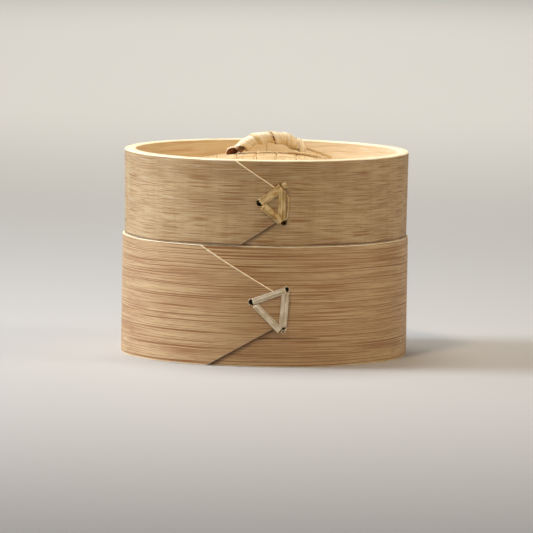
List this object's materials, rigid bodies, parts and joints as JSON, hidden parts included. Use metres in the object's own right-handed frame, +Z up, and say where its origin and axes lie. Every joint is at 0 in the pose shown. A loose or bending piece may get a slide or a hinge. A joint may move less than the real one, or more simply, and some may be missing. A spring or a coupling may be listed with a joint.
{
  "type": "bamboo steamer basket",
  "caption": "Round bamboo steamer: a basket of bent, laced hoops over a slatted grate, and a lift-off lid with a woven domed top and an arched wrapped handle.",
  "frame": {"origin": "middle of the basket's bottom edge, on the hoops' common axis, at the height of the surface it stands on", "axes": "+Z is up, along the hoops' axis and the way the lid lifts; -Y is the front, where the hoops' laps and lacings are; +X is right seen from the front"},
  "size_m": [0.1502, 0.1523, 0.1167],
  "materials": {
    "basket_skin_bamboo": "satin",
    "lid_skin_bamboo": "satin",
    "inner_bamboo": "matte",
    "splint_bamboo": "satin",
    "lace_bamboo": "satin",
    "peg_bamboo": "matte"
  },
  "bodies": {
    "basket": {"basket_outer_hoop": "basket_skin_bamboo", "basket_middle_hoop": "inner_bamboo", "basket_inner_hoop": "inner_bamboo", "grate_ring": "inner_bamboo", "grate_slat_01": "splint_bamboo", "grate_slat_02": "splint_bamboo", "grate_slat_03": "splint_bamboo", "grate_slat_04": "splint_bamboo", "grate_slat_05": "splint_bamboo", "grate_slat_06": "splint_bamboo", "grate_slat_07": "splint_bamboo", "grate_slat_08": "splint_bamboo", "grate_slat_09": "splint_bamboo", "grate_slat_10": "splint_bamboo", "grate_slat_11": "splint_bamboo", "grate_bar_front": "splint_bamboo", "grate_bar_back": "splint_bamboo", "peg_front_left": "peg_bamboo", "peg_front_right": "peg_bamboo", "peg_back_left": "peg_bamboo", "peg_back_right": "peg_bamboo", "basket_lacing": "lace_bamboo"},
    "lid": {"lid_outer_hoop": "lid_skin_bamboo", "lid_upper_hoop": "inner_bamboo", "lid_lower_hoop": "inner_bamboo", "panel_splint_x01": "splint_bamboo", "panel_splint_x02": "splint_bamboo", "panel_splint_x03": "splint_bamboo", "panel_splint_x04": "splint_bamboo", "panel_splint_x05": "splint_bamboo", "panel_splint_x06": "splint_bamboo", "panel_splint_x07": "splint_bamboo", "panel_splint_x08": "splint_bamboo", "panel_splint_x09": "splint_bamboo", "panel_splint_x10": "splint_bamboo", "panel_splint_x11": "splint_bamboo", "panel_splint_x12": "splint_bamboo", "panel_splint_x13": "splint_bamboo", "panel_splint_y01": "splint_bamboo", "panel_splint_y02": "splint_bamboo", "panel_splint_y03": "splint_bamboo", "panel_splint_y04": "splint_bamboo", "panel_splint_y05": "splint_bamboo", "panel_splint_y06": "splint_bamboo", "panel_splint_y07": "splint_bamboo", "panel_splint_y08": "splint_bamboo", "panel_splint_y09": "splint_bamboo", "panel_splint_y10": "splint_bamboo", "panel_splint_y11": "splint_bamboo", "panel_splint_y12": "splint_bamboo", "panel_splint_y13": "splint_bamboo", "handle_wrap": "splint_bamboo", "handle_core_front": "splint_bamboo", "handle_core_back": "splint_bamboo", "handle_binding": "splint_bamboo", "lid_lacing": "lace_bamboo"}
  },
  "joints": [
    {"name": "lid_lift", "type": "slide", "parent": "basket", "child": "lid", "axis": [0, 0, 1], "range_m": [0, 0.12]}
  ]
}
